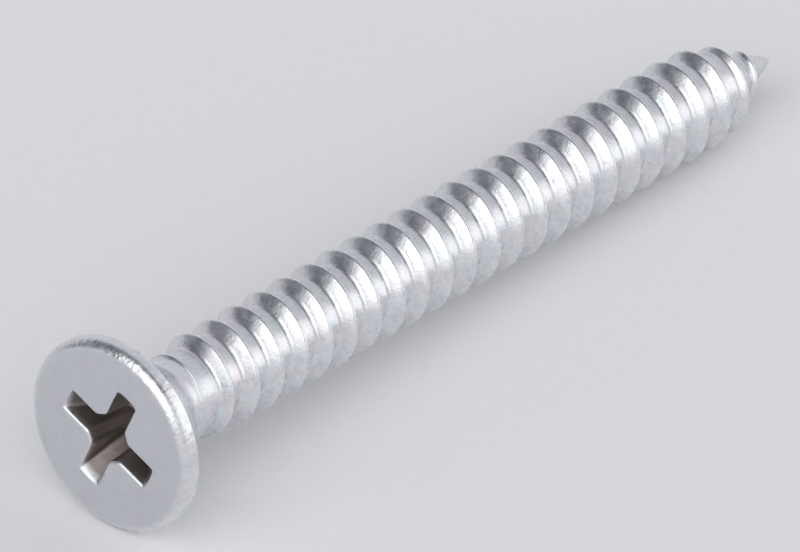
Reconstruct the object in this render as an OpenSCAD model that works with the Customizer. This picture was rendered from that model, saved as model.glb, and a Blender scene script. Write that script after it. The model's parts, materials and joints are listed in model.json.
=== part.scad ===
// Countersunk self-tapping screw with a cross recess, lying as it comes to rest on a flat surface.
// The screw is drawn upright first, head face at zero and point upwards, then laid down along +X.

/* [Head] */
// Diameter of the head over its rim
head_d = 7.9; // [7.5:0.1:8.5]
// Height of the straight rim between the face and the countersink
rim_h = 0.75; // [0.5:0.05:1]
// Radius of the rounded edge between the face and the rim
rim_edge_r = 0.22; // [0.1:0.01:0.3]
// Included angle of the countersink
sink_angle = 90; // [84:1:96]

/* [Neck] */
// Diameter of the plain neck under the head
neck_d = 3.6; // [3.3:0.05:3.8]
// Radius of the fillet between the countersink and the neck
neck_fillet_r = 1; // [0.4:0.05:1.2]
// Length of the straight neck between the fillet and the thread
neck_h = 0.1; // [0.05:0.05:2]
// Length over which the core narrows from the neck to its own diameter
neck_taper_h = 1.2; // [0.6:0.1:2]

/* [Cross recess] */
// Span of the wings across the head face, end to end
wing_span = 4.6; // [4.2:0.1:5]
// Width of a wing at the head face
wing_w = 1; // [0.85:0.05:1.1]
// Lean of each side of a wing, so that the wing narrows with depth
wing_draft = 3; // [1:0.5:5]
// Lean of the ends of the wings from the screw's axis
wing_end_angle = 26.5; // [22:0.5:28]
// Depth of the wings, where the cone at the bottom begins
wing_depth = 2.2; // [1.8:0.05:2.3]
// Width across the chamfered corners between the wings, at the head face
corner_w = 1.92; // [1.7:0.02:2.1]
// Lean of the chamfered corners from the screw's axis
corner_draft = 5.75; // [4:0.25:7]
// Included angle of the cone at the bottom of the recess
bottom_angle = 140; // [130:1:150]
// Turn of the wings about the axis, from the underside of the screw
recess_turn = 23; // [0:1:89]

/* [Thread] */
// Diameter over the thread's crest
thread_d = 4.1; // [4:0.05:4.8]
// Diameter of the core between the turns
core_d = 3.05; // [2.8:0.05:3.15]
// Distance from one turn to the next
pitch = 1.4; // [1.3:0.05:1.8]
// Included angle of the thread's two flanks
flank_angle = 60; // [50:1:66]
// Width of the flat on the crest
crest_w = 0.1; // [0.06:0.01:0.16]
// Length over which the first turns rise out of the core
run_in_h = 1.6; // [1:0.1:4]
// Hand of the thread
thread_hand = "left"; // [left, right]
// Turn where the thread starts, from the underside of the screw and in the sense that the thread winds
thread_turn = 110; // [0:10:350]
// Straight steps that make up one turn
turn_steps = 36; // [24:4:48]

/* [Point] */
// Length of the whole screw, from the head face to the tip
length = 39; // [24:0.5:48]
// Included angle of the core's cone at the point
point_angle = 45; // [40:1:50]
// Diameter of the small blunt end of the point
tip_d = 0.18; // [0.1:0.02:0.4]
// Length over which the last turns sink back into the core
run_out_h = 4.6; // [2:0.1:6]
// Length of the bare tip, past the end of the thread
bare_tip_h = 0.5; // [0.3:0.1:1]

/* [Hidden] */

head_r = head_d / 2;
neck_r = neck_d / 2;
core_r = core_d / 2;
tip_r = tip_d / 2;
crest_r = thread_d / 2;
ridge_h = crest_r - core_r;

// Steps in a rounded corner of the head's profile, and in a full round
arc_steps = 8;
round_steps = 96;
// Room by which a cut stands past the face that it opens, and by which the core is let into the neck
cut_room = 0.1;
core_overlap = 0.2;
// Step by which the core starts inside the neck
neck_step = 0.03;
// Least length of a flank, so that a turn of no height still has distinct edges
least_flank = 0.05;

// Heights above the head face
sink_end = rim_h + (head_r - neck_r) / tan(sink_angle / 2);
fillet_reach = neck_fillet_r * tan(sink_angle / 4);
neck_end = sink_end + fillet_reach + neck_h;
thread_start = neck_end + crest_w + least_flank;
thread_end = length - bare_tip_h;

// Core and ridge of the thread at the height s above the head face
function neck_taper_r(s) = core_r + (neck_r - neck_step - core_r) * (1 - (s - neck_end) / neck_taper_h);
function core_r_at(s) = min(max(core_r, neck_taper_r(s)), tip_r + (length - s) * tan(point_angle / 2));
function ridge_h_at(s) = ridge_h * max(0, min(1, (s - thread_start) / run_in_h, (thread_end - s) / run_out_h));

// Stations along the helix: each has a turn about the axis, a height and a ridge of four edges
stations = floor((thread_end - thread_start) / pitch * turn_steps);
function station_turn(i) = thread_turn + i * 360 / turn_steps;
function station_s(i) = thread_start + i * pitch / turn_steps;
function flank_run(i) = max(least_flank, ridge_h_at(station_s(i)) * tan(flank_angle / 2));
function on_axis_circle(r, turn, s) = [r * cos(turn), r * sin(turn), s];
function core_point(i, offset) =
    on_axis_circle(core_r_at(station_s(i) + offset), station_turn(i), station_s(i) + offset);
function crest_r_at(i, offset) = core_r_at(station_s(i) + offset) + ridge_h_at(station_s(i));
function crest_point(i, offset) =
    on_axis_circle(crest_r_at(i, offset), station_turn(i), station_s(i) + offset);
function ridge_points(i) = [
    core_point(i, -crest_w / 2 - flank_run(i)),
    crest_point(i, -crest_w / 2),
    crest_point(i, crest_w / 2),
    core_point(i, crest_w / 2 + flank_run(i))
];

// Resting pose: the rear edge of the rim and one crest of the thread touch the surface
function rest_slope(i) =
    (head_r - crest_r_at(i, crest_w / 2) * cos(station_turn(i))) / (station_s(i) + crest_w / 2 - rim_h);
rest_tilt = atan(min([for (i = [0:stations]) rest_slope(i)]));
face_height = rim_h * sin(rest_tilt) + head_r * cos(rest_tilt);
back_x = rim_edge_r * (cos(rest_tilt) - 1) - (head_r - rim_edge_r) * sin(rest_tilt);
tip_x = length * cos(rest_tilt) + tip_r * sin(rest_tilt);

// Points of an arc, with the radius r, about a centre
function arc(centre, r, from, to) =
    [for (k = [0:arc_steps]) let (a = from + (to - from) * k / arc_steps) centre + r * [cos(a), sin(a)]];

// Half section of the head: radius across, height above the face upwards
module head_profile() {
    rim_edge = arc([head_r - rim_edge_r, rim_edge_r], rim_edge_r, -90, 0);
    fillet = arc([neck_r + neck_fillet_r, sink_end + fillet_reach], neck_fillet_r, 180 + sink_angle / 2, 180);
    polygon(concat([[0, 0]], rim_edge, [[head_r, rim_h]], fillet, [[neck_r, neck_end], [0, neck_end]]));
}

module head() {
    rotate_extrude($fn = round_steps)
        head_profile();
}

// A bar that opens at the face and narrows with depth on two sides
module tapered_bar(span, width, draft, depth) {
    top = width / 2 + cut_room * tan(draft);
    bottom = width / 2 - depth * tan(draft);
    rotate([90, 0, 90])
        linear_extrude(height = span, center = true)
            polygon([[-top, -cut_room], [top, -cut_room], [bottom, depth], [-bottom, depth]]);
}

// Form of the driver's tip: the ends of the wings lean in to a cone at the bottom
module recess_envelope() {
    mouth_r = wing_span / 2 + cut_room * tan(wing_end_angle);
    foot_r = wing_span / 2 - wing_depth * tan(wing_end_angle);
    recess_depth = wing_depth + foot_r / tan(bottom_angle / 2);
    rotate_extrude($fn = round_steps)
        polygon([[0, -cut_room], [mouth_r, -cut_room], [foot_r, wing_depth], [0, recess_depth]]);
}

// Chamfered corners between the wings, as a square spike turned by an eighth
module recess_corners(depth) {
    rotate(45)
        intersection() {
            tapered_bar(wing_span, corner_w, corner_draft, depth);
            rotate(90)
                tapered_bar(wing_span, corner_w, corner_draft, depth);
        }
}

module cross_recess() {
    bar_depth = wing_depth + wing_span;
    side_depth = min(bar_depth, wing_w / 2 / tan(wing_draft) - cut_room);
    corner_depth = min(bar_depth, corner_w / 2 / tan(corner_draft) - cut_room);
    rotate(recess_turn)
        intersection() {
            recess_envelope();
            union() {
                for (turn = [0, 90])
                    rotate(turn)
                        tapered_bar(wing_span * 2, wing_w, wing_draft, side_depth);
                recess_corners(corner_depth);
            }
        }
}

// Core, thread and point as one right-hand strip that is wound up along the helix
module threaded_shank() {
    last = stations;
    one_turn = turn_steps;
    ring = 4 * (last + 1);
    tip_first = last - one_turn;
    tip_ring = ring + one_turn;
    tip_end = tip_ring + one_turn;
    ring_s = neck_end - core_overlap;
    points = concat(
        [for (i = [0:last]) each ridge_points(i)],
        [for (i = [0:one_turn - 1]) on_axis_circle(neck_r - neck_step, station_turn(i), ring_s)],
        [for (i = [0:one_turn - 1]) on_axis_circle(tip_r, station_turn(tip_first + 1 + i), length)],
        [[0, 0, length]]
    );
    ridge_faces = [for (i = [0:last - 1], j = [0:2]) let (a = 4 * i + j)
        each [[a, a + 1, a + 5], [a, a + 5, a + 4]]];
    root_faces = [for (i = [0:last - one_turn - 1]) let (a = 4 * i + 3, b = 4 * (i + one_turn))
        each [[a, b, b + 4], [a, b + 4, a + 4]]];
    start_faces = [for (i = [0:one_turn - 2])
        each [[ring + i, 4 * i, 4 * i + 4], [ring + i, 4 * i + 4, ring + i + 1]]];
    // The first sector of the start and of the tip also meets the end of the strip
    start_edge = [4 * (one_turn - 1), 4 * one_turn, 3, 2, 1, 0, ring];
    start_seam = [for (k = [0:len(start_edge) - 2]) [ring + one_turn - 1, start_edge[k], start_edge[k + 1]]];
    tip_edge = [
        4 * tip_first + 3, 4 * last, 4 * last + 1, 4 * last + 2, 4 * last + 3, tip_ring + one_turn - 1, tip_ring
    ];
    tip_seam = [for (k = [0:len(tip_edge) - 2]) [4 * (tip_first + 1) + 3, tip_edge[k], tip_edge[k + 1]]];
    tip_faces = [for (k = [0:one_turn - 2]) let (a = 4 * (tip_first + 1 + k) + 3, b = tip_ring + k)
        each [[a, b, b + 1], [a, b + 1, a + 4]]];
    end_faces = [for (k = [0:one_turn - 1]) [tip_ring + k, tip_end, tip_ring + (k + 1) % one_turn]];
    polyhedron(
        points = points,
        faces = concat(
            [[for (i = [0:one_turn - 1]) ring + i]],
            start_faces, start_seam, ridge_faces, root_faces, tip_seam, tip_faces, end_faces
        ),
        convexity = 10
    );
}

module screw() {
    color([0.77, 0.78, 0.81])
        translate([-(back_x + tip_x) / 2, 0, face_height])
            rotate([0, 90 + rest_tilt, 0])
                difference() {
                    union() {
                        head();
                        mirror([0, thread_hand == "left" ? 1 : 0, 0])
                            threaded_shank();
                    }
                    cross_recess();
                }
}

screw();
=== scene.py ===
import json
import math

import bpy
from mathutils import Matrix, Vector


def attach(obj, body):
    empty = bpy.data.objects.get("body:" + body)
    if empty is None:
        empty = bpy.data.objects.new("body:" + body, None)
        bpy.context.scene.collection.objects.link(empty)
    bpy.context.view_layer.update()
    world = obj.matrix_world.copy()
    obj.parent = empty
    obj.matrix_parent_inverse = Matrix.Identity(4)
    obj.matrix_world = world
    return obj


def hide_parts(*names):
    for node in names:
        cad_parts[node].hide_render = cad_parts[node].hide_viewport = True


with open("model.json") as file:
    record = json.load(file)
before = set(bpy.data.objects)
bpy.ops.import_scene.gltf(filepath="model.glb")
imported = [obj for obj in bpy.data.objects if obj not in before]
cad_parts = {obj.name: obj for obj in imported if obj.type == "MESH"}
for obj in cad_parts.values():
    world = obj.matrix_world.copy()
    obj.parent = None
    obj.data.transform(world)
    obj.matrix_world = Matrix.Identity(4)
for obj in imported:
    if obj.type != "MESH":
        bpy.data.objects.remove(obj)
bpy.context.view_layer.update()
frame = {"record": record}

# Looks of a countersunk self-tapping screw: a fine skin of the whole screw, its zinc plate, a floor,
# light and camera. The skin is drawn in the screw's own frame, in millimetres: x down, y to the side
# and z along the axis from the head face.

MM = 0.001

# Sizes of the screw, as in the part's source, but with a head that is a hair smaller,
# so that the skin stays inside the box of the part
HEAD_R = 3.948
RIM_H = 0.75
SINK_HALF_ANGLE = math.radians(45)
NECK_R = 1.8
NECK_FILLET_R = 1.0
NECK_H = 0.1
NECK_TAPER_H = 1.2
NECK_STEP = 0.03
WING_SPAN = 4.6
WING_W = 1.0
WING_DRAFT = math.radians(3)
WING_END_ANGLE = math.radians(26.5)
WING_DEPTH = 2.2
CORNER_W = 1.92
CORNER_DRAFT = math.radians(5.75)
BOTTOM_HALF_ANGLE = math.radians(70)
RECESS_TURN = math.radians(23)
CREST_R = 2.05
CORE_R = 1.525
PITCH = 1.4
FLANK_HALF_ANGLE = math.radians(30)
CREST_W = 0.1
RUN_IN_H = 1.6
THREAD_TURN = math.radians(110)
# The thread winds to the left
THREAD_HAND = -1
LENGTH = 39.0
POINT_HALF_ANGLE = math.radians(22.5)
TIP_R = 0.09
RUN_OUT_H = 4.6
BARE_TIP_H = 0.5
# Least height of a drawn ridge, so that a turn of no height still has distinct points
LEAST_FLANK = 0.05

# Height of the thread above the core
RIDGE_H = CREST_R - CORE_R

# Heights above the head face
SINK_END = RIM_H + (HEAD_R - NECK_R) / math.tan(SINK_HALF_ANGLE)
FILLET_REACH = NECK_FILLET_R * math.tan(SINK_HALF_ANGLE / 2)
NECK_END = SINK_END + FILLET_REACH + NECK_H
THREAD_START = NECK_END + CREST_W + LEAST_FLANK
THREAD_END = LENGTH - BARE_TIP_H
# Where the cone of the point would end if it ran on past the blunt tip
APEX_S = LENGTH + TIP_R / math.tan(POINT_HALF_ANGLE)

# Edges that the skin rounds off
RIM_EDGE_R = 0.4
LIP_R = 0.1
RECESS_CORNER_R = 0.12
SEAT_EDGE_R = 0.05
CREST_ROUND_R = 0.12
ROOT_ROUND_R = 0.26
POINT_BLEND = 0.05
TIP_ROUND_R = (APEX_S - LENGTH) / (1 / math.sin(POINT_HALF_ANGLE) - 1)
# Most of a narrow wing's half width, and of a low ridge's height, that a rounding may take
WING_ROUND_SHARE = 0.5
CREST_ROUND_SHARE = 0.6
ROOT_ROUND_SHARE = 0.8
# Edges that meet at a larger angle than this stay sharp
SHARP_ANGLE = math.radians(50)

# Power of the run-out: below one, the last turns stay a little fuller than in the part before they end
RUN_OUT_POWER = 0.75

# The tip of the point is bent to one side
BEND_START = 37.3
BEND_OFFSET = 0.1
BEND_TURN = math.radians(315)

# Fineness of the skin: columns in a turn, and steps in its rounded parts
COLUMNS = 144
LIP_STEPS = 4
WALL_STEPS = 10
FLOOR_STEPS = 8
FACE_STEPS = 8
EDGE_STEPS = 5
CONE_STEPS = 8
FILLET_STEPS = 6
CREST_STEPS = 3
ROOT_STEPS = 4
TIP_STEPS = 16

# Columns in an eighth of the recess: wing end, end corner, wing side, inner corner, chamfer
OCTANT_COLUMNS = (4, 4, 5, 3, 2)

# Camera that the photograph was taken with: lens and sensor in millimetres, and where it looks
CAM_LENS = 498.028
CAM_SENSOR_W = 36.0
CAM_ELEVATION = math.radians(34.447)
CAM_HEADING = math.radians(41.030)
# The head face's centre as the camera has it, in millimetres: to the right, down and forward
FACE_FROM_CAM = (-10.975, 6.087, 414.8)
# Nearest and farthest that the camera sees, in metres
CAM_NEAR = 0.01
CAM_FAR = 10

# Light of the tent's walls
TENT_PALE = (0.68, 0.69, 0.72)
TENT_FRONT = (1.6, 1.59, 1.57)
TENT_END = (2.0, 1.98, 1.95)
TENT_SIDE = (1.35, 1.35, 1.35)
TENT_DIM = (0.16, 0.17, 0.19)
# Walls of the tent: direction, angles in degrees where the soft edge starts and ends, and light
TENT_WALLS = (
    ((-0.66, -0.25, 0.71), 26, 42, TENT_FRONT),
    ((-0.93, 0.07, 0.36), 8, 22, TENT_END),
    ((0.66, -0.70, 0.26), 14, 34, TENT_SIDE),
    ((-0.58, 0.79, 0.20), 14, 30, TENT_DIM),
    ((-0.08, 0.66, 0.75), 14, 36, TENT_DIM),
    ((-0.42, 0.60, 0.68), 10, 24, TENT_DIM),
    ((0.14, 0.15, 0.98), 12, 28, TENT_DIM),
    ((0.08, -0.42, 0.90), 10, 22, TENT_DIM),
)

# Colours of the zinc plate
PLATE_DARK = (0.73, 0.74, 0.77)
PLATE_MID = (0.80, 0.81, 0.84)
PLATE_LIGHT = (0.86, 0.86, 0.88)
SPOT_DARK = (0.84, 0.84, 0.86)
SPOT_PALE = (0.97, 0.97, 0.97)
SPOT_NONE = (1.0, 1.0, 1.0)
TINT_GREEN = (0.91, 1.0, 0.99)
TINT_NONE = (1.0, 0.99, 1.0)
TINT_PINK = (1.0, 0.92, 0.95)
SATIN_GREY = (0.615, 0.625, 0.665)
WORN_BRIGHT = (0.90, 0.90, 0.91)
# Brown residue tint in the recess, made darker as painted shade
RECESS_SHADE_BROWN = (0.42, 0.38, 0.365)

# Patterns of the zinc plate, in waves to a millimetre
CLOUD_FINENESS = 1.1
MOTTLE_FINENESS = 2.4
SPECKLE_FINENESS = 5.5
CHATTER_FINENESS = 5.5
GRAIN_FINENESS = 9

# How much of the spots, tint, satin grey and wear shows
SPOT_SHARE = 0.7
TINT_SHARE = 0.7
SATIN_SHARE = 0.65
WORN_SHARE = 0.6

# Roughness of the plate where the mottle is low and high, and the gain in gloss from wear
GLOSSY = (0.19, 0.38)
DULL = (0.38, 0.48)
WORN_GLOSS = 0.08

# Relief of the plate: height of the pattern, and strength
GRAIN_RELIEF = (0.02 * MM, 0.3)
MOTTLE_RELIEF = (0.05 * MM, 0.35)
CHATTER_RELIEF = (0.06 * MM, 0.5)
# The chatter marks on the rim are drawn out along the screw
CHATTER_STRETCH = (0.3, 1, 1)

# Height up the rim where the satin of the face ends
SATIN_EDGE_H = 0.04
# Share of the recess's depth where its walls have turned brown, darkened there as painted shade
SHADE_BROWN_DEPTH = 0.12

# Floor: half its width in metres, its roughness, and the colours and relief of its faint tooth
FLOOR_HALF_W = 1.5
FLOOR_ROUGHNESS = 0.9
TOOTH_FINENESS = 1.6
PAPER_LOW = (0.912, 0.912, 0.923)
PAPER_HIGH = (0.928, 0.928, 0.937)
TOOTH_RELIEF = (0.02 * MM, 0.3)


def polar(radius, turn, height):
    return (radius * math.cos(turn), radius * math.sin(turn), height)


def mix(a, b, t):
    return tuple(p + (q - p) * t for p, q in zip(a, b))


def round_corner(start, corner, end, steps):
    """Points of a round corner from start to end, without its last point."""
    shares = [k / steps for k in range(steps)]
    return [mix(mix(start, corner, t), mix(corner, end, t), t) for t in shares]


class Skin:
    """Points, faces and point marks of the screw's closed surface."""

    def __init__(self):
        self.points = []
        self.faces = []
        self.satin = []
        self.depth = []
        self.rim = []
        self.wear = []

    def add(self, points, satin=0.0, depth=0.0, rim=0.0, wear=0.0):
        """Adds points with the same marks, and gives their numbers."""
        first = len(self.points)
        self.points.extend(points)
        new = len(self.points) - first
        self.satin.extend([satin] * new)
        self.depth.extend([depth] * new)
        self.rim.extend([rim] * new)
        self.wear.extend([wear] * new)
        return list(range(first, first + new))

    def bridge(self, ring_a, ring_b):
        """Joins two closed rings that have the same count of points."""
        count = len(ring_a)
        for k in range(count):
            after = (k + 1) % count
            self.faces.append((ring_a[k], ring_a[after], ring_b[after], ring_b[k]))

    def turn_over(self, first):
        """Turns the faces from the first one on, so that they look the other way."""
        self.faces[first:] = [tuple(reversed(face)) for face in self.faces[first:]]

    def fan(self, hub, chain):
        """Joins one point to each step of a chain."""
        for a, b in zip(chain, chain[1:]):
            self.faces.append((hub, a, b))


def recess_octant(end_r, half_w, corner):
    """Outline of an eighth of the recess, from the middle of a wing's end to the diagonal."""
    end_x = math.sqrt(end_r ** 2 - half_w ** 2)
    inner_x = corner * math.sqrt(2) - half_w
    diagonal = corner / math.sqrt(2)
    round_r = min(RECESS_CORNER_R, half_w * WING_ROUND_SHARE)
    half_turn = math.asin(half_w / end_r)
    corner_turn = half_turn * (1 - round_r / half_w)
    n_end, n_corner, n_side, n_inner, n_chamfer = OCTANT_COLUMNS
    corner_start = (end_r * math.cos(corner_turn), end_r * math.sin(corner_turn))
    corner_end = (end_x - round_r, half_w)
    inner_start = (inner_x + round_r, half_w)
    slope = round_r / math.sqrt(2)
    inner_end = (inner_x - slope, half_w + slope)
    wing_end = [
        (end_r * math.cos(corner_turn * k / n_end), end_r * math.sin(corner_turn * k / n_end))
        for k in range(n_end)
    ]
    end_corner = round_corner(corner_start, (end_x, half_w), corner_end, n_corner)
    side = [mix(corner_end, inner_start, k / n_side) for k in range(n_side)]
    inner_corner = round_corner(inner_start, (inner_x, half_w), inner_end, n_inner)
    chamfer = [mix(inner_end, (diagonal, diagonal), k / n_chamfer) for k in range(n_chamfer)]
    return wing_end + end_corner + side + inner_corner + chamfer, (diagonal, diagonal)


def recess_outline(depth, grow):
    """Outline of the recess at a depth, grown by an amount, with the turn of the screw's wings."""
    end_r = WING_SPAN / 2 - depth * math.tan(WING_END_ANGLE) + grow
    half_w = WING_W / 2 - depth * math.tan(WING_DRAFT) + grow
    corner = CORNER_W / 2 - depth * math.tan(CORNER_DRAFT) + grow
    octant, diagonal = recess_octant(end_r, half_w, corner)
    mirrored = [(y, x) for x, y in reversed(octant[1:])]
    quarter = octant + [diagonal] + mirrored
    outline = []
    for k in range(4):
        turn = RECESS_TURN + k * math.pi / 2
        c, s = math.cos(turn), math.sin(turn)
        outline.extend((x * c - y * s, x * s + y * c) for x, y in quarter)
    return outline


def floor_depth(radius):
    """Depth of the cone at the bottom of the recess."""
    foot_r = WING_SPAN / 2 - WING_DEPTH * math.tan(WING_END_ANGLE)
    return WING_DEPTH + max(0.0, foot_r - radius) / math.tan(BOTTOM_HALF_ANGLE)


def add_recess(skin):
    """Bottom, walls and rounded lip of the recess. Gives the ring where the lip meets the face."""
    foot = recess_outline(WING_DEPTH, 0)
    deepest = floor_depth(0)
    centre = skin.add([(0, 0, deepest)], depth=1.0)[0]
    last = None
    for k in range(1, FLOOR_STEPS + 1):
        share = k / FLOOR_STEPS
        points = [(x * share, y * share, floor_depth(math.hypot(x, y) * share)) for x, y in foot]
        ring = skin.add(points, depth=1.0)
        if last is None:
            skin.fan(centre, ring[:1] + ring[::-1])
        else:
            skin.bridge(last, ring)
        last = ring
    for k in range(1, WALL_STEPS + 1):
        share = 1 - k / WALL_STEPS
        depth = LIP_R + (WING_DEPTH - LIP_R) * share
        outline = recess_outline(depth, 0)
        points = []
        for (x, y), (foot_x, foot_y) in zip(outline, foot):
            reach = floor_depth(math.hypot(foot_x, foot_y)) - LIP_R
            points.append((x, y, LIP_R + reach * share))
        ring = skin.add(points, depth=share)
        skin.bridge(last, ring)
        last = ring
    for k in range(1, LIP_STEPS + 1):
        turn = math.pi / 2 * k / LIP_STEPS
        grow = LIP_R * (1 - math.cos(turn))
        depth = LIP_R * (1 - math.sin(turn))
        ring = skin.add([(x, y, depth) for x, y in recess_outline(depth, grow)], satin=k / LIP_STEPS)
        skin.bridge(last, ring)
        last = ring
    return last


def add_face(skin, lip):
    """Flat face between the recess and the rim. Gives its outer ring."""
    inner = [skin.points[k] for k in lip]
    outer = [column(k, HEAD_R - RIM_EDGE_R, 0) for k in range(COLUMNS)]
    last = lip
    for k in range(1, FACE_STEPS + 1):
        share = k / FACE_STEPS
        ring = skin.add([mix(a, b, share) for a, b in zip(inner, outer)], satin=1.0)
        skin.bridge(last, ring)
        last = ring
    return last


def column(k, radius, height):
    return polar(radius, RECESS_TURN + 2 * math.pi * k / COLUMNS, height)


def arc(centre_r, centre_s, radius, start, end, steps):
    """Radii and heights of the points of an arc in the head's half section, without its first point."""
    turns = [start + (end - start) * k / steps for k in range(1, steps + 1)]
    return [(centre_r + radius * math.cos(a), centre_s + radius * math.sin(a)) for a in turns]


def head_profile():
    """Half section of the head, from the edge of its face to the start of the thread."""
    quarter = math.pi / 2
    lean = SINK_HALF_ANGLE
    rim_edge = arc(HEAD_R - RIM_EDGE_R, RIM_EDGE_R, RIM_EDGE_R, -quarter, 0, EDGE_STEPS)
    seat_reach = SEAT_EDGE_R * math.tan((quarter - lean) / 2)
    seat_edge = [(HEAD_R, RIM_H - seat_reach)]
    seat_edge += arc(HEAD_R - SEAT_EDGE_R, RIM_H - seat_reach, SEAT_EDGE_R, 0, quarter - lean, EDGE_STEPS)
    fillet_r = NECK_R + NECK_FILLET_R
    fillet_s = SINK_END + FILLET_REACH
    fillet_start = (
        fillet_r + NECK_FILLET_R * math.cos(math.pi + lean),
        fillet_s + NECK_FILLET_R * math.sin(math.pi + lean),
    )
    cone = [mix(seat_edge[-1], fillet_start, k / CONE_STEPS) for k in range(1, CONE_STEPS + 1)]
    fillet = arc(fillet_r, fillet_s, NECK_FILLET_R, math.pi + lean, math.pi, FILLET_STEPS)
    return rim_edge + seat_edge + cone + fillet + [(NECK_R - NECK_STEP, NECK_END)]


def add_head(skin, face):
    """Rim, countersink and neck. Gives the ring at the foot of the neck."""
    last = face
    for radius, height in head_profile():
        satin = max(0.0, 1 - height / SATIN_EDGE_H)
        rim = 1.0 if height < RIM_H else 0.0
        wear = 1.0 if abs(height - RIM_H) < SEAT_EDGE_R else 0.0
        points = [column(k, radius, height) for k in range(COLUMNS)]
        ring = skin.add(points, satin=satin, rim=rim, wear=wear)
        skin.bridge(last, ring)
        last = ring
    return last


def core_r_at(height):
    """Radius of the core, with a soft change from the neck to the shank and from the shank to the point."""
    taper = min(1.0, max(0.0, 1 - (height - NECK_END) / (2 * NECK_TAPER_H)))
    shank = CORE_R + (NECK_R - NECK_STEP - CORE_R) * taper ** 2
    cone = max(0.0, (APEX_S - height) * math.tan(POINT_HALF_ANGLE))
    closeness = max(0.0, 1 - abs(shank - cone) / (4 * POINT_BLEND))
    return min(shank, cone) - POINT_BLEND * closeness ** 2


def ridge_h_at(height):
    """Height of the thread above the core."""
    run_in = max(0.0, min(1.0, (height - THREAD_START) / RUN_IN_H))
    run_out = max(0.0, min(1.0, (THREAD_END - height) / RUN_OUT_H))
    return RIDGE_H * min(run_in, run_out ** RUN_OUT_POWER)


def half_ridge(ridge_h):
    """Half section of one turn, from its crest to its root, as offsets along the axis and heights."""
    drawn_h = max(ridge_h, LEAST_FLANK)
    flat = ridge_h / drawn_h
    turn = math.pi / 2 - FLANK_HALF_ANGLE
    crest_r = min(CREST_ROUND_R, drawn_h * CREST_ROUND_SHARE)
    root_r = min(ROOT_ROUND_R, drawn_h * ROOT_ROUND_SHARE)
    root_reach = root_r * math.tan(turn / 2)
    foot = crest_r * math.tan(turn / 2) + drawn_h * math.tan(FLANK_HALF_ANGLE)
    section = []
    for k in range(CREST_STEPS + 1):
        a = turn * k / CREST_STEPS
        section.append((crest_r * math.sin(a), drawn_h - crest_r * (1 - math.cos(a))))
    for k in range(ROOT_STEPS + 1):
        a = turn * (1 - k / ROOT_STEPS)
        along = foot + root_reach - root_r * math.sin(a)
        section.append((along, root_r * (1 - math.cos(a))))
    return [(along, height * flat) for along, height in section]


def ridge_points(turn, height):
    """Points of one station of the thread, from its root on the head's side to its root on the tip's side."""
    half = half_ridge(ridge_h_at(height))
    section = [(-along, rise) for along, rise in reversed(half[1:])] + half
    return [polar(core_r_at(height + along) + rise, turn, height + along) for along, rise in section]


def add_thread(skin, neck):
    """Core, thread and point, as one strip that is wound up along the helix."""
    count = int((THREAD_END - THREAD_START) / PITCH * COLUMNS)
    shift = round((THREAD_HAND * THREAD_TURN - RECESS_TURN) / (2 * math.pi) * COLUMNS)
    ring = [neck[(shift + THREAD_HAND * k) % COLUMNS] for k in range(COLUMNS)]
    first_face = len(skin.faces)
    strip = []
    for i in range(count + 1):
        turn = THREAD_HAND * (THREAD_TURN + 2 * math.pi * i / COLUMNS)
        strip.append(skin.add(ridge_points(turn, THREAD_START + PITCH * i / COLUMNS)))
    crest_at = len(strip[0]) // 2
    for station in strip:
        for k in range(-CREST_STEPS, CREST_STEPS + 1):
            skin.wear[station[crest_at + k]] = 1 - abs(k) / (CREST_STEPS + 1)
    join_strip(skin, strip)
    join_start(skin, strip, ring)
    join_tip(skin, strip)
    if THREAD_HAND < 0:
        skin.turn_over(first_face)


def join_strip(skin, strip):
    """Faces along the ridge, and across the root to the next turn."""
    last = len(strip) - 1
    for i in range(last):
        here, there = strip[i], strip[i + 1]
        for j in range(len(here) - 1):
            skin.faces.append((here[j], there[j], there[j + 1], here[j + 1]))
    for i in range(last - COLUMNS):
        near, near_next = strip[i][-1], strip[i + 1][-1]
        far, far_next = strip[i + COLUMNS][0], strip[i + COLUMNS + 1][0]
        skin.faces.append((near, near_next, far_next, far))


def join_start(skin, strip, ring):
    """Faces between the neck and the first turn."""
    for i in range(COLUMNS - 1):
        skin.faces.append((ring[i], ring[i + 1], strip[i + 1][0], strip[i][0]))
    edge = [ring[0]] + strip[0] + [strip[COLUMNS][0], strip[COLUMNS - 1][0]]
    skin.fan(ring[-1], edge)


def join_tip(skin, strip):
    """Faces from the last turn to the rounded tip."""
    last = len(strip) - 1
    first = last - COLUMNS + 1
    apex = (0.0, 0.0, APEX_S)
    chains = []
    for i in range(first, last + 1):
        foot = skin.points[strip[i][-1]]
        points = [mix(foot, apex, k / TIP_STEPS) for k in range(1, TIP_STEPS)]
        chains.append([strip[i][-1]] + skin.add([round_tip(p) for p in points]))
    end = skin.add([(0.0, 0.0, LENGTH)])[0]
    for i in range(COLUMNS):
        here, there = chains[i], chains[(i + 1) % COLUMNS]
        for k in range(TIP_STEPS - 1):
            skin.faces.append((here[k], there[k], there[k + 1], here[k + 1]))
        skin.faces.append((here[-1], there[-1], end))
    skin.fan(strip[first][-1], strip[last][::-1] + [strip[first - 1][-1]])


def round_tip(point):
    """Draws a point of the bare cone in to the small ball at its end."""
    x, y, s = point
    ball_s = LENGTH - TIP_ROUND_R
    touch_s = ball_s + TIP_ROUND_R * math.sin(POINT_HALF_ANGLE)
    if s <= touch_s:
        return point
    share = (s - touch_s) / (APEX_S - touch_s)
    lean = math.pi / 2 - POINT_HALF_ANGLE
    a = lean * (1 - share)
    radius = math.hypot(x, y)
    scale = TIP_ROUND_R * math.sin(a) / radius
    return (x * scale, y * scale, ball_s + TIP_ROUND_R * math.cos(a))


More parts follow.
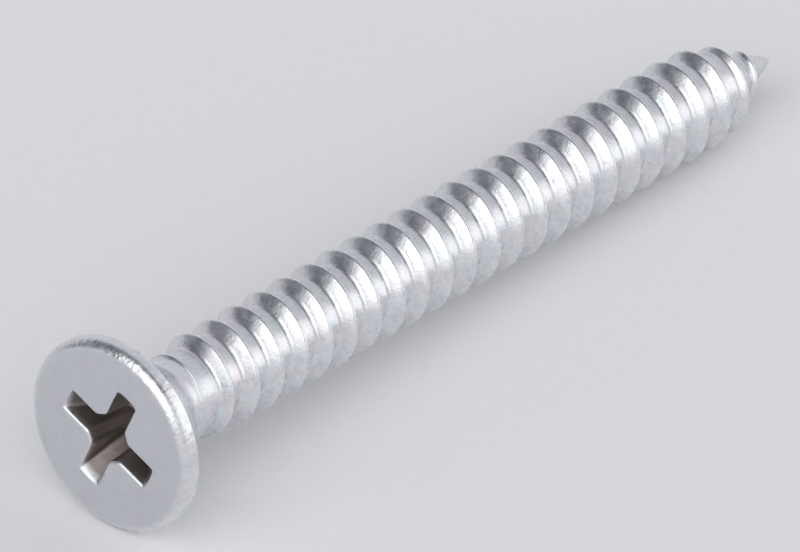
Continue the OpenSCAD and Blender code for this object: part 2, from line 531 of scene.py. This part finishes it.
def bend_tip(point):
    """Moves a point near the tip to the side that the tip is bent to."""
    x, y, s = point
    share = max(0.0, (s - BEND_START) / (LENGTH - BEND_START))
    offset = BEND_OFFSET * share ** 2
    return (x + offset * math.cos(BEND_TURN), y + offset * math.sin(BEND_TURN), s)


def screw_pose():
    """Places the screw's own frame, in millimetres, in the CAD frame."""
    mount = next(m for m in frame["record"]["mounts"] if m["name"] == "drive_recess")
    face = Vector(mount["pos_m"])
    along = -Vector(mount["axis"]).normalized()
    side = Vector((0, 1, 0))
    down = side.cross(along)
    turn = Matrix((down, side, along)).transposed().to_4x4()
    return Matrix.Translation(face) @ turn @ Matrix.Scale(MM, 4)


def build_screw():
    """The whole screw as one closed mesh."""
    skin = Skin()
    lip = add_recess(skin)
    face = add_face(skin, lip)
    neck = add_head(skin, face)
    add_thread(skin, neck)
    mesh = bpy.data.meshes.new("screw_skin")
    mesh.from_pydata([bend_tip(p) for p in skin.points], [], skin.faces)
    for name in ("satin", "depth", "rim", "wear"):
        marks = mesh.attributes.new(name, "FLOAT", "POINT")
        marks.data.foreach_set("value", getattr(skin, name))
    mesh.transform(screw_pose())
    mesh.polygons.foreach_set("use_smooth", [True] * len(mesh.polygons))
    mesh.set_sharp_from_angle(angle=SHARP_ANGLE)
    screw = bpy.data.objects.new("screw_skin", mesh)
    bpy.context.scene.collection.objects.link(screw)
    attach(screw, "root")
    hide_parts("screw")
    return screw


class Nodes:
    """Short calls to add and link shader nodes."""

    def __init__(self, tree):
        self.tree = tree

    def new(self, kind, **inputs):
        node = self.tree.nodes.new(kind)
        for name, value in inputs.items():
            node.inputs[name.replace("_", " ")].default_value = value
        return node

    def link(self, output, target):
        self.tree.links.new(output, target)

    def noise(self, vector, scale, detail, roughness=0.5):
        node = self.new("ShaderNodeTexNoise", Scale=scale, Detail=detail, Roughness=roughness)
        self.link(vector, node.inputs["Vector"])
        return node.outputs["Fac"]

    def ramp(self, value, stops):
        node = self.new("ShaderNodeValToRGB")
        elements = node.color_ramp.elements
        while len(elements) < len(stops):
            elements.new(0.5)
        for element, (place, colour) in zip(elements, stops):
            element.position = place
            element.color = (*colour, 1.0)
        self.link(value, node.inputs["Fac"])
        return node.outputs["Color"]

    def remap(self, value, low, high, to_low, to_high):
        node = self.new("ShaderNodeMapRange")
        for name, number in zip(("From Min", "From Max", "To Min", "To Max"), (low, high, to_low, to_high)):
            node.inputs[name].default_value = number
        self.link(value, node.inputs["Value"])
        return node.outputs["Result"]

    def maths(self, operation, a, b):
        node = self.new("ShaderNodeMath")
        node.operation = operation
        for socket, value in zip(node.inputs, (a, b)):
            if isinstance(value, (int, float)):
                socket.default_value = value
            else:
                self.link(value, socket)
        return node.outputs["Value"]

    def blend(self, share, a, b, kind="MIX"):
        node = self.new("ShaderNodeMix")
        node.data_type = "RGBA"
        node.blend_type = kind
        sockets = {s.identifier: s for s in node.inputs}
        for name, value in (("Factor_Float", share), ("A_Color", a), ("B_Color", b)):
            if isinstance(value, tuple):
                sockets[name].default_value = (*value, 1.0)
            elif isinstance(value, (int, float)):
                sockets[name].default_value = value
            else:
                self.link(value, sockets[name])
        return next(s for s in node.outputs if s.identifier == "Result_Color")

    def mark(self, name):
        node = self.new("ShaderNodeAttribute")
        node.attribute_name = name
        return node.outputs["Fac"]

    def bump(self, height, distance, strength, normal=None):
        node = self.new("ShaderNodeBump", Distance=distance, Strength=strength)
        self.link(height, node.inputs["Height"])
        if normal is not None:
            self.link(normal, node.inputs["Normal"])
        return node.outputs["Normal"]


def millimetres(n):
    """Places on an object, in millimetres."""
    place = n.new("ShaderNodeMapping", Scale=(1 / MM, 1 / MM, 1 / MM))
    n.link(n.new("ShaderNodeTexCoord").outputs["Object"], place.inputs["Vector"])
    return place.outputs["Vector"]


def new_material(name):
    """A new material, with its nodes and its shader."""
    material = bpy.data.materials.new(name)
    material.use_nodes = True
    return material, Nodes(material.node_tree), material.node_tree.nodes["Principled BSDF"]


def mottled_plate(n, spot, mottle, speckle):
    """Colour of the bare plate, with its mottle, spots and faint tints."""
    cloud = n.noise(spot, CLOUD_FINENESS, 2)
    plate = n.ramp(mottle, [(0.3, PLATE_DARK), (0.52, PLATE_MID), (0.72, PLATE_LIGHT)])
    spots = n.ramp(speckle, [(0.3, SPOT_DARK), (0.46, SPOT_PALE), (0.7, SPOT_NONE)])
    plate = n.blend(SPOT_SHARE, plate, spots, "MULTIPLY")
    tint = n.ramp(cloud, [(0.3, TINT_GREEN), (0.5, TINT_NONE), (0.7, TINT_PINK)])
    return n.blend(TINT_SHARE, plate, tint, "MULTIPLY")


def plate_roughness(n, mottle, soft, worn):
    """Glossy on the thread, dull where the plate is soft, and a little glossier where it is worn."""
    gloss = n.remap(mottle, 0.3, 0.7, *GLOSSY)
    dull = n.remap(mottle, 0.3, 0.7, *DULL)
    rough = n.maths("ADD", gloss, n.maths("MULTIPLY", soft, n.maths("SUBTRACT", dull, gloss)))
    return n.maths("SUBTRACT", rough, n.maths("MULTIPLY", worn, WORN_GLOSS))


def plate_relief(n, spot, mottle):
    """Fine grain and mottle all over, and chatter marks on the rim."""
    relief = n.bump(n.noise(spot, GRAIN_FINENESS, 3, 0.55), *GRAIN_RELIEF)
    relief = n.bump(mottle, *MOTTLE_RELIEF, relief)
    streaks = n.new("ShaderNodeMapping", Scale=CHATTER_STRETCH)
    n.link(spot, streaks.inputs["Vector"])
    marks = n.noise(streaks.outputs["Vector"], CHATTER_FINENESS, 2)
    return n.bump(n.maths("MULTIPLY", marks, n.mark("rim")), *CHATTER_RELIEF, relief)


def zinc_plate():
    """Bright zinc plate: satin on the face, glossy on the thread, brown and dull down in the recess, where a
    brown residue tint and painted shade darken it.
    """
    material, n, shader = new_material("zinc_plated_steel")
    shader.inputs["Metallic"].default_value = 1.0
    spot = millimetres(n)
    mottle = n.noise(spot, MOTTLE_FINENESS, 5, 0.6)
    speckle = n.noise(spot, SPECKLE_FINENESS, 3, 0.6)
    satin = n.mark("satin")
    worn = n.maths("MULTIPLY", n.mark("wear"), n.remap(speckle, 0.42, 0.6, 0.0, WORN_SHARE))
    # Painted shade: the recess walls turn a darker brown with depth
    deep = n.remap(n.mark("depth"), 0.0, SHADE_BROWN_DEPTH, 0.0, 1.0)
    plate = mottled_plate(n, spot, mottle, speckle)
    plate = n.blend(n.remap(satin, 0.0, 1.0, 0.0, SATIN_SHARE), plate, SATIN_GREY)
    plate = n.blend(worn, plate, WORN_BRIGHT)
    plate = n.blend(deep, plate, RECESS_SHADE_BROWN)
    n.link(plate, shader.inputs["Base Color"])
    soft = n.maths("MAXIMUM", satin, deep)
    n.link(plate_roughness(n, mottle, soft, worn), shader.inputs["Roughness"])
    n.link(plate_relief(n, spot, mottle), shader.inputs["Normal"])
    return material


def floor_paper():
    """Pale matt paper with a faint tooth."""
    material, n, shader = new_material("pale_floor")
    shader.inputs["Roughness"].default_value = FLOOR_ROUGHNESS
    tooth = n.noise(millimetres(n), TOOTH_FINENESS, 4, 0.6)
    n.link(n.ramp(tooth, [(0.3, PAPER_LOW), (0.7, PAPER_HIGH)]), shader.inputs["Base Color"])
    n.link(n.bump(tooth, *TOOTH_RELIEF), shader.inputs["Normal"])
    return material


def build_floor():
    mesh = bpy.data.meshes.new("floor")
    half = FLOOR_HALF_W
    corners = [(-half, -half, 0), (half, -half, 0), (half, half, 0), (-half, half, 0)]
    mesh.from_pydata(corners, [], [(0, 1, 2, 3)])
    floor = bpy.data.objects.new("floor", mesh)
    bpy.context.scene.collection.objects.link(floor)
    floor.data.materials.append(floor_paper())


def tent_wall(n, light, way, inner, outer, colour):
    """Changes the tent's light around one direction, with a soft edge between two angles."""
    way = Vector(way).normalized()
    dot = n.new("ShaderNodeVectorMath")
    dot.operation = "DOT_PRODUCT"
    n.link(n.new("ShaderNodeTexCoord").outputs["Generated"], dot.inputs[0])
    dot.inputs[1].default_value = way
    edge_start = math.cos(math.radians(inner))
    edge_end = math.cos(math.radians(outer))
    share = n.remap(dot.outputs["Value"], edge_end, edge_start, 0.0, 1.0)
    return n.blend(share, light, colour)


def build_light():
    """A pale light tent: bright at the camera, at the head's end and to the right, dim behind and above."""
    world = bpy.data.worlds.new("tent")
    bpy.context.scene.world = world
    world.use_nodes = True
    n = Nodes(world.node_tree)
    light = TENT_PALE
    for way, inner, outer, colour in TENT_WALLS:
        light = tent_wall(n, light, way, inner, outer, colour)
    n.link(light, world.node_tree.nodes["Background"].inputs["Color"])
    bpy.context.scene.view_settings.view_transform = "Standard"


def build_camera():
    """Camera at the photograph's place."""
    ahead = Vector((math.cos(CAM_HEADING), math.sin(CAM_HEADING), 0))
    right = Vector((ahead.y, -ahead.x, 0))
    forward = ahead * math.cos(CAM_ELEVATION) - Vector((0, 0, math.sin(CAM_ELEVATION)))
    down = forward.cross(right)
    face = screw_pose().translation
    to_right, to_down, to_front = FACE_FROM_CAM
    place = face - (right * to_right + down * to_down + forward * to_front) * MM
    data = bpy.data.cameras.new("camera")
    data.lens = CAM_LENS
    data.sensor_width = CAM_SENSOR_W
    data.clip_start = CAM_NEAR
    data.clip_end = CAM_FAR
    camera = bpy.data.objects.new("camera", data)
    turn = Matrix((right, -down, -forward)).transposed().to_4x4()
    camera.matrix_world = Matrix.Translation(place) @ turn
    bpy.context.scene.collection.objects.link(camera)
    bpy.context.scene.camera = camera


build_screw().data.materials.append(zinc_plate())
build_floor()
build_light()
build_camera()
